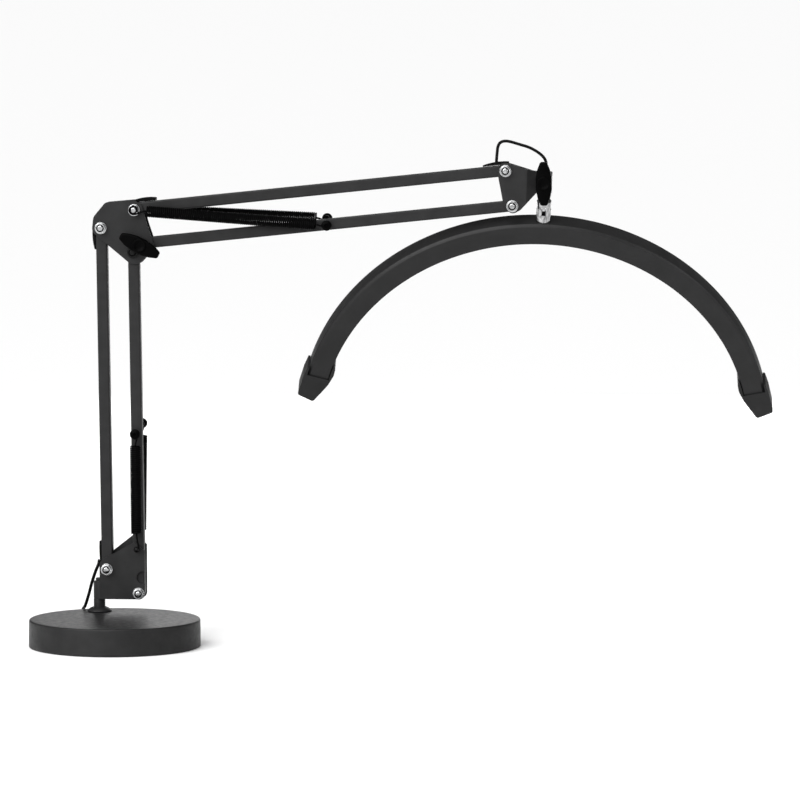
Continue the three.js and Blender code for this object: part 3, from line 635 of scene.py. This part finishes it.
# Base and post.
def arcPoints(cx, cz, radius, start, end, steps=6):
    # Part of a circle in a profile, in degrees.
    a = np.radians(np.linspace(start, end, steps))
    return np.stack([cx + radius * np.cos(a), cz + radius * np.sin(a)], -1)


baseShape = {"radius": 91.0, "topRadius": 90.6, "height": 29.2, "edge": 1.8, "wall": 1.5,
             "padRadius": 86.0}


def baseShell():
    # Pressed cover: a flat top, a rounded shoulder, a side that widens a little and a
    # rolled lower lip, then the same line back on the inside.
    b = baseShape
    top, r, edge, wall = b["height"], b["topRadius"], b["edge"], b["wall"]
    flat = [[0, top], [6, top], [40, top], [r - edge - 6, top]]
    shoulder = arcPoints(r - edge, top - edge, edge, 90, 0, 9)
    side = [[r + 0.1, 20], [b["radius"] - 0.1, 4]]
    lip = arcPoints(b["radius"] - 0.6, 1.1, 0.6, 0, -90, 5)
    inside = [[b["radius"] - wall, 0.5], [r - wall, top - edge - 1], [r - edge - wall, top - wall],
              [0, top - wall]]
    return turned(np.concatenate([flat, shoulder, side, lip, inside]), sides=256)


def basePad():
    # Foam disc with eased rims.
    r = baseShape["padRadius"]
    upper, lower = arcPoints(r - 0.6, 1.4, 0.6, 90, 0, 4), arcPoints(r - 0.6, 0.6, 0.6, 0, -90, 4)
    return turned(np.concatenate([[[0, 2.0]], upper, lower, [[0, 0]]]), sides=160)


postAt = (-25.1, armY, 0)
collarLine = np.concatenate([
    [[6.5, 29.5], [12.8, 29.5]], arcPoints(12.9, 30.1, 0.5, -60, 40, 4),
    arcPoints(4.0, 22.6, 12.0, 48, 72, 8),
    arcPoints(7.2, 33.3, 0.4, 50, 150, 4), [[6.5, 33.2]]])
postLine = np.concatenate([
    [[0, 2.6], [5, 2.6], [5, 29.5], [6.2, 29.5], [6.2, 36.6], [5.95, 36.8], [5.95, 37.2],
     [6.2, 37.4]],
    arcPoints(5.8, 42.6, 0.4, 0, 90, 4),
    [[4.0, 43.0], [4.0, 62.9], [3.75, 63.1], [3.75, 63.6], [4.0, 63.8]],
    arcPoints(3.1, 64.6, 0.9, 0, 90, 5), [[0, 65.5]]])
addPiece("base_cover", baseShell(), "base", "paintedSteel", ["base_shell"], 30)
addPiece("base_foam", basePad(), "base", "foamPad", ["base_pad"])
addPiece("base_ring", solidRing(collarLine, at=postAt, sides=72), "base", "paintedSteel",
         ["base_collar"], 40)
addPiece("swivel_pin", turned(postLine, postAt, sides=64), "base", "paintedSteel", ["swivel_post"],
         30)
dressNode("base_nut", "base", "zincPlate", 0.3)
paintNode("base_weight", "ironWeight")
print("base made")

# Folded brackets, plates and square tubes.
sheetNodes = {
    "lower_bracket": ("swivel_bracket", 0.35),
    "elbow_plate_front": ("elbow", 0.4), "elbow_plate_rear": ("elbow", 0.4),
    "head_bracket": ("head", 0.3),
    "lower_main_tube": ("lower_main", 0.25), "lower_follower_tube": ("lower_follower", 0.25),
    "upper_main_tube": ("upper_main", 0.25), "upper_follower_tube": ("upper_follower", 0.25),
}
for node, (body, edge) in sheetNodes.items():
    dressNode(node, body, "paintedSteel", edge)
grommetNodes = {"lower_foot_grommet": "lower_main", "lower_elbow_grommet": "lower_main",
                "upper_elbow_grommet": "upper_main", "upper_head_grommet": "upper_main"}
for node, body in grommetNodes.items():
    dressNode(node, body, "softGrommet", 0.7)
for node in ("lower_tube_wire", "upper_tube_wire"):
    paintNode(node, "cordJacket")
print("sheet parts made")

# Bolts and nuts.
hardware = {"nutFlat": 5.0, "nutThick": 4.3, "washer": 6.4, "washerThick": 1.2, "shank": 2.85,
            "headThick": 3.2}
front, rear = -1.0, 1.0
plateFace = 9.1  # of a washer's back, from the arm plane


def washer(at, side):
    section = ringProfile(3.3, hardware["washer"], 0, hardware["washerThick"], 0.35)
    return solidRing(section, at=(at[0], armY + side * plateFace, at[1]),
                     direction=(0, side, 0), sides=48)


def pivotNut(at):
    h = hardware
    step = plateFace + h["washerThick"]
    return joined(washer(at, front),
                  hexNut((at[0], armY - step, at[1]), (0, -1, 0), h["nutThick"], h["nutFlat"], 2.6))


def pivotBolt(at, reach=16.0):
    # Shank through the joint, a hex head with its flange behind and a thread in front.
    h = hardware
    shank = turned([[0, 0], [h["shank"], 0], [h["shank"], 21.6], [0, 21.6]],
                   (at[0], armY + plateFace + 0.4, at[1]), (0, -1, 0), 32)
    end = threadEnd((at[0], armY - plateFace - 3.0, at[1]), (0, -1, 0), reach - plateFace - 3.0,
                    h["shank"])
    head = hexNut((at[0], armY + plateFace, at[1]), (0, 1, 0), h["headThick"], h["nutFlat"], 0)
    return joined(shank, end, head)


def nutInsert(at):
    # Dark plastic ring set in the outer end of a locking nut.
    section = ringProfile(2.7, 4.1, 0, 0.7, 0.25)
    top = plateFace + hardware["washerThick"] + hardware["nutThick"]
    return solidRing(section, at=(at[0], armY - top + 0.35, at[1]), direction=(0, front, 0),
                     sides=40)


boltPlaces = {
    "lower_main": ("swivel_bracket", "mainFoot"),
    "lower_follower": ("swivel_bracket", "followerFoot"),
    "elbow_main": ("elbow", "mainElbow"), "elbow_upper": ("elbow", "upperMain"),
    "elbow_follower": ("elbow", "followerElbow"),
    "head_main": ("head", "headMain"), "head_follower": ("head", "headFollower"),
}
for name, (body, pivot) in boltPlaces.items():
    plating = "blackZinc" if name == "elbow_follower" else "zincPlate"
    addPiece(name + "_hex_bolt", pivotBolt(pivots[pivot]), body, plating, [name + "_bolt"], 28)
    addPiece(name + "_hex_nut", pivotNut(pivots[pivot]), body, plating, [name + "_nut"], 28)
    addPiece(name + "_nut_insert", nutInsert(pivots[pivot]), body, "knobPlastic")
addPiece("elbow_clamp_bolt", pivotBolt(pivots["upperFollower"], 20.0), "elbow", "zincPlate",
         ["elbow_lock_screw"], 28)


def rivet(at, side):
    # Shouldered pin with a groove for the hook and a domed head.
    line = np.concatenate([[[0, 0], [2.4, 0], [2.4, 1.2], [1.5, 1.5], [1.5, 8.2], [2.2, 8.8]],
                           arcPoints(0.4, 8.6, 2.1, 10, 90, 6)])
    return turned(line, (at[0], armY + side * 7.1, at[1]), (0, side, 0), 32)


hookFoot = (17.4, 97.6)
for place, side in (("front", front), ("rear", rear)):
    addPiece("lower_rivet_" + place, rivet(hookFoot, side), "swivel_bracket", "blackZinc",
             ["lower_hook_pin_" + place])
print("hardware made")

# Clamp knobs.
knob = {"wing": 23.0, "hub": 7.4, "low": 8.0, "high": 15.5, "elbowTurn": -27, "headTurn": 93,
        "headFace": 7.7}


def wingKnob(at, angle, face):
    # Two wings as a plate with a deep rounded edge, thinner to the tips, a hub that rises
    # through them with a dished end, and a boss behind.
    w = knob["wing"]
    lower = [[-w, -3.4, 2.4], [-15, -6.6, 4], [-6, -8.4, 4], [6, -8.4, 4], [15, -6.6, 4],
             [w, -3.4, 2.4]]
    shape = outline(lower + [[-x, -z, r] for x, z, r in lower], 9)
    points, faces = plate(shape, -knob["high"], -knob["low"], 2.2, 7)
    middle = -(knob["high"] + knob["low"]) / 2
    thin = 1 - 0.22 * np.clip((np.abs(points[:, 0]) - 6) / 17, 0, 1) ** 1.5
    points[:, 1] = middle + (points[:, 1] - middle) * thin
    hub = np.concatenate([[[0, 0], [4.6, 0]], arcPoints(4.4, 0.6, 0.6, -60, 0, 3),
                          [[5, 6.8], [knob["hub"] - 0.8, 7.6]],
                          arcPoints(knob["hub"] - 1.1, 15.4, 1.1, 0, 90, 6),
                          [[5.0, 16.4], [4.4, 15.9], [2.4, 15.6], [0, 15.6]]])
    hubPart = turned(hub, (0, 0, 0), (0, -1, 0), 56)
    spin = turnAbout("Y", -angle)
    return placed(joined((points, faces), hubPart), spin, (at[0], armY - face, at[1]))


addPiece("elbow_knob_wings", wingKnob(pivots["upperFollower"], knob["elbowTurn"], plateFace),
         "elbow_knob", "knobPlastic", ["elbow_wing_knob"], 40)
headKnobAt = tiltPivot + headTurn @ np.array([0, 0, headHeight])
knobSeat = headKnobAt + headTurn @ np.array([0, -knob["headFace"], 0])
points, faces = wingKnob((0, 0), knob["headTurn"], 0)
headWings = placed((points - np.array([0, armY, 0]), faces), headTurn, knobSeat)
headScrew = turned([[0, 0], [2.4, 0], [2.4, 3.9], [0, 3.9]],
                   knobSeat + headTurn @ np.array([0, -0.5, 0]),
                   headTurn @ np.array([0, 1, 0]), 24)
addPiece("head_knob_wings", joined(headWings, headScrew), "head_knob", "knobPlastic",
         ["head_wing_knob"], 40)
print("knobs made")

# Springs.
springShape = {"radius": 5.2, "wire": 1.0, "offset": 15.2}


def springPath(hook, anchor, y, hookLength, tailLength, turns, hookRadius, tailRadius):
    # A hook bent round each pin and a coil between them. The coil is a helix: its angle
    # grows evenly along the spring, and its radius swells from the legs at both ends.
    start, end = np.array([hook[0], y, hook[1]]), np.array([anchor[0], y, anchor[1]])
    run = np.linalg.norm(end - start)
    along = (end - start) / run
    across = np.cross([0, 1, 0], along)
    t = np.linspace(0, 1, int(turns * 18))
    a = 2 * np.pi * turns * t
    swell = np.clip(np.minimum(t, 1 - t) * turns / 0.6, 0, 1)
    swell = springShape["radius"] * (swell * swell * (3 - 2 * swell))
    height = hookLength + (run - hookLength - tailLength) * t
    coilLine = np.stack([height, swell * np.cos(a), swell * np.sin(a)], -1)

    def hookLine(radius, far, steps=22):
        a = np.radians(np.linspace(-200, 90, steps))
        ring = np.stack([-radius * np.cos(a), radius * np.sin(a), np.zeros(steps)], -1)
        leg = np.linspace(0, 1, 8)[1:-1, None]
        reach = np.concatenate([leg, leg * leg * (3 - 2 * leg), leg], 1)
        return np.concatenate([ring, ring[-1:] + (np.array([[far, 0, 0]]) - ring[-1:]) * reach])
    first = hookLine(hookRadius, hookLength)
    last = hookLine(tailRadius, tailLength)[::-1] * np.array([-1, 1, 1]) + np.array([run, 0, 0])
    local = np.concatenate([first, coilLine, last])
    beside = local[:, 2:] * np.array([0, 1.0, 0])
    return start + local[:, :1] * along + local[:, 1:2] * across + beside


# legs: straight ends; pins: radius of the hooks; bend: where the bodies part, as shares of
# the spring's length
springs = {
    "lower_spring_front": {
        "hook": hookFoot, "end": alongLink(pivots["followerFoot"], lowerLink, 171.5),
        "side": front, "legs": (17, 12), "turns": 45, "pins": (2.2, 2.7), "bend": (-0.06, 0.48),
        "bodies": ("swivel_bracket", "lower_follower")},
    "lower_spring_rear": {
        "hook": hookFoot, "end": alongLink(pivots["followerFoot"], lowerLink, 180.5, -3),
        "side": rear, "legs": (17, 12), "turns": 49, "pins": (2.2, 2.7), "bend": (-0.06, 0.48),
        "bodies": ("swivel_bracket", "lower_follower")},
    "upper_spring_front": {
        "hook": pivots["upperMain"],
        "end": alongLink(pivots["upperFollower"], upperLink, 200, 0.4),
        "side": front, "legs": (14, 11), "turns": 86, "pins": (4.2, 2.7), "bend": (0.0, 0.14),
        "bodies": ("elbow", "upper_follower")},
    "upper_spring_rear": {
        "hook": pivots["upperMain"],
        "end": alongLink(pivots["upperFollower"], upperLink, 198, 6.6),
        "side": rear, "legs": (14, 11), "turns": 86, "pins": (4.2, 2.7), "bend": (0.0, 0.14),
        "bodies": ("elbow", "upper_follower")},
}
for name, s in springs.items():
    y = armY + s["side"] * springShape["offset"]
    path = springPath(s["hook"], s["end"], y, *s["legs"], s["turns"], *s["pins"])
    piece = addPiece(name + "_coil", tubeAlong(path, springShape["wire"], 8), None, "springWire",
                     [name], 60)
    hook, run = np.array(s["hook"]), np.array(s["end"]) - s["hook"]
    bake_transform(piece)


def springScrew(at, side):
    # Plastic headed screw: a flange on the tube, a waist for the spring's eye and a
    # domed round head with a hexagon socket.
    line = np.concatenate([
        [[0, 0], [3.4, 0]], arcPoints(3.2, 0.4, 0.4, -50, 0, 3), arcPoints(3.2, 3.0, 0.4, 0, 60, 3),
        [[2.1, 3.7], [2.1, 10.2]],
        [[5.0, 10.5]], arcPoints(4.8, 11.3, 0.8, -60, 20, 5), arcPoints(0, 3.4, 10.6, 62, 76, 5),
        [[2.5, 13.6], [2.3, 13.3], [2.2, 11.6], [0, 11.6]]])

    def socket(r, h, a):
        within = (a + np.pi / 6) % (np.pi / 3) - np.pi / 6
        inside = (r < 2.6) & (h > 11)
        return np.where(inside & (r > 0.1), r * 0.86 / np.cos(within), r), h
    return turned(line, (at[0], armY + side * 6.3, at[1]), (0, side, 0), 60, socket)


for name, s in springs.items():
    body = s["bodies"][1]
    label = name.replace("spring", "spring_screw")
    addPiece(label + "_head", springScrew(s["end"], s["side"]), body, "knobPlastic", [label], 35)
print("springs made")

# Head sleeve, swivel stud and fork.
sleeve = {"inner": 7.46, "outer": 7.95, "low": 14.4, "high": 36.6, "reach": 74.0}


def barrelSleeve():
    # Bright strip wrapped round the outer side of the head's barrel.
    section = ringProfile(sleeve["inner"], sleeve["outer"], sleeve["low"], sleeve["high"], 0.2)
    a = np.radians(np.linspace(-sleeve["reach"], sleeve["reach"], 48))[:, None]
    r, z = section[:, 0], section[:, 1]
    points = np.stack([np.cos(a) * r, np.sin(a) * r, np.broadcast_to(z, (48, len(z)))],
                      -1).reshape(-1, 3)
    n = len(section)
    caps = [np.arange(n)[None, ::-1], (np.arange(n) + 47 * n)[None]]
    return placed((points, [gridFaces(48, n), *caps]), headTurn, tiltPivot)


addPiece("head_sleeve", barrelSleeve(), "head", "chromePaintedReflections", (), 30)
dressNode("swivel_stud", "stud", "chromePaintedReflections", 0.25)
dressNode("bar_clevis", "bar", "chromePaintedReflections", 0.3)
dressNode("tilt_screw", "bar", "zincPlate", 0.3)

# Curved bar.
bar = {"inner": 230.0, "outer": 253.4, "depth": 24.0, "wall": 1.6, "half": 77.0, "bevel": 3.0}


def arcSweep(section, half, steps=320):
    # A section of [radius, depth] points carried round the bar's centre: each row of the
    # grid is the section at one angle from the middle.
    a = np.radians(np.linspace(-half, half, steps))
    section = np.asarray(section, float)
    r, y = section[:, 0], section[:, 1]
    points = np.stack([np.sin(a)[:, None] * r, np.broadcast_to(y, (steps, len(y))),
                       np.cos(a)[:, None] * r], -1).reshape(-1, 3)
    n = len(section)
    caps = [np.arange(n)[None, ::-1], (np.arange(n) + n * (steps - 1))[None]]
    return placed((points, [gridFaces(steps, n), *caps]), barTurn, barCentre)


def housingSection():
    # Open channel: a flat front face with a wide bevel towards the outer wall, both walls
    # with rounded rims, and the same line back on the inside.
    b, h = bar, bar["depth"] / 2
    return outline([[b["inner"], h, 0.5], [b["inner"], -h, 1.0],
                    [b["outer"] - b["bevel"], -h, 1.2],
                    [b["outer"], -h + 2.4, 1.2], [b["outer"], h, 0.5],
                    [b["outer"] - b["wall"], h, 0.5],
                    [b["outer"] - b["wall"], -h + 3, 0.6], [b["outer"] - 3.4, -h + b["wall"], 0.6],
                    [b["inner"] + b["wall"], -h + b["wall"], 0.6],
                    [b["inner"] + b["wall"], h, 0.5]], 5)


def diffuserSection():
    # A shallow bowed cover with a lip that sits in the channel.
    r = np.linspace(bar["inner"] + 2.6, bar["outer"] - 2.6, 15)
    bow = 9.0 + 2.3 * (1 - ((r - r.mean()) / 9.4) ** 4).clip(0, 1)
    top = np.stack([r, bow], -1)
    under = np.stack([r[::-1], bow[::-1] - 1.2], -1)
    left = [[bar["inner"] + 1.95, 9.2], [bar["inner"] + 1.95, 11.0]]
    return np.concatenate([left, top, [[bar["outer"] - 1.95, 11.0], [bar["outer"] - 1.95, 9.2]],
                           under])


addPiece("bar_channel", arcSweep(housingSection(), bar["half"]), "bar", "barPaint", ["bar_housing"],
         32)
cover = addPiece("bar_cover", arcSweep(diffuserSection(), bar["half"] - 0.3), "bar", "diffuserMilk",
                 ["diffuser"], 40)
uvs = cover.data.uv_layers.new(name="along")
loops = np.empty(len(cover.data.loops), np.int32)
cover.data.loops.foreach_get("vertex_index", loops)
co = np.empty(len(cover.data.vertices) * 3)
cover.data.vertices.foreach_get("co", co)
local = (co.reshape(-1, 3) / mm - barCentre) @ barTurn
around = np.arctan2(local[:, 0], local[:, 2]) * bar["inner"] * 0.001
pairs = np.stack([around[loops], local[loops, 1] * mm], -1)
uvs.data.foreach_set("uv", pairs.astype(np.float32).ravel())
dressNode("led_strip", "bar", "ledBoard", 0.1)
for side in ("left", "right"):
    dressNode("end_cap_" + side, "bar", "capPlastic", 0.7)
print("bar made")

# Floor and light.
studio = {
    "floor": 0.95, "world": 0.16, "floorReach": 300,
    "sun": {"azimuth": -28.0, "elevation": 42.0, "spread": 70.0, "strength": 4.7},
    "lamps": [  # place, size, power
        ((-2.4, -2.6, 1.9), 1.2, 30.0), ((2.6, -1.2, 1.2), 0.9, 14.0), ((0.2, 3.0, 0.9), 1.8, 16.0),
    ],
}
scene.view_settings.view_transform = "Standard"
floorMesh = bpy.data.meshes.new("floor")
e = studio["floorReach"]
floorMesh.from_pydata([(-e, -e, 0), (e, -e, 0), (e, e, 0), (-e, e, 0)], [], [(0, 1, 2, 3)])
floorPiece = bpy.data.objects.new("floor", floorMesh)
scene.collection.objects.link(floorPiece)
floorMaterial, _, floorShader, _ = newMaterial("paleFloor")
floorShader.inputs["Base Color"].default_value = (studio["floor"],) * 3 + (1,)
floorShader.inputs["Roughness"].default_value = 0.6
floorMesh.materials.append(floorMaterial)
world = bpy.data.worlds.new("studio")
scene.world = world
world.use_nodes = True
world.node_tree.nodes["Background"].inputs["Color"].default_value = (1, 1, 1, 1)
world.node_tree.nodes["Background"].inputs["Strength"].default_value = studio["world"]
sunData = bpy.data.lights.new("sun", "SUN")
sunData.energy = studio["sun"]["strength"]
sunData.angle = radians(studio["sun"]["spread"])
sun = bpy.data.objects.new("sun", sunData)
sun.rotation_euler = (radians(90 - studio["sun"]["elevation"]), 0,
                      radians(studio["sun"]["azimuth"]))
scene.collection.objects.link(sun)
aim = Vector((0.3, 0.06, 0.25))
for i, (place, size, power) in enumerate(studio["lamps"]):
    lampData = bpy.data.lights.new(f"softbox{i}", "AREA")
    lampData.shape = "DISK"
    lampData.size = size
    lampData.energy = power
    lamp = bpy.data.objects.new(f"softbox{i}", lampData)
    lamp.location = place
    lamp.rotation_euler = (aim - Vector(place)).to_track_quat("-Z", "Y").to_euler()
    scene.collection.objects.link(lamp)
print("studio made")
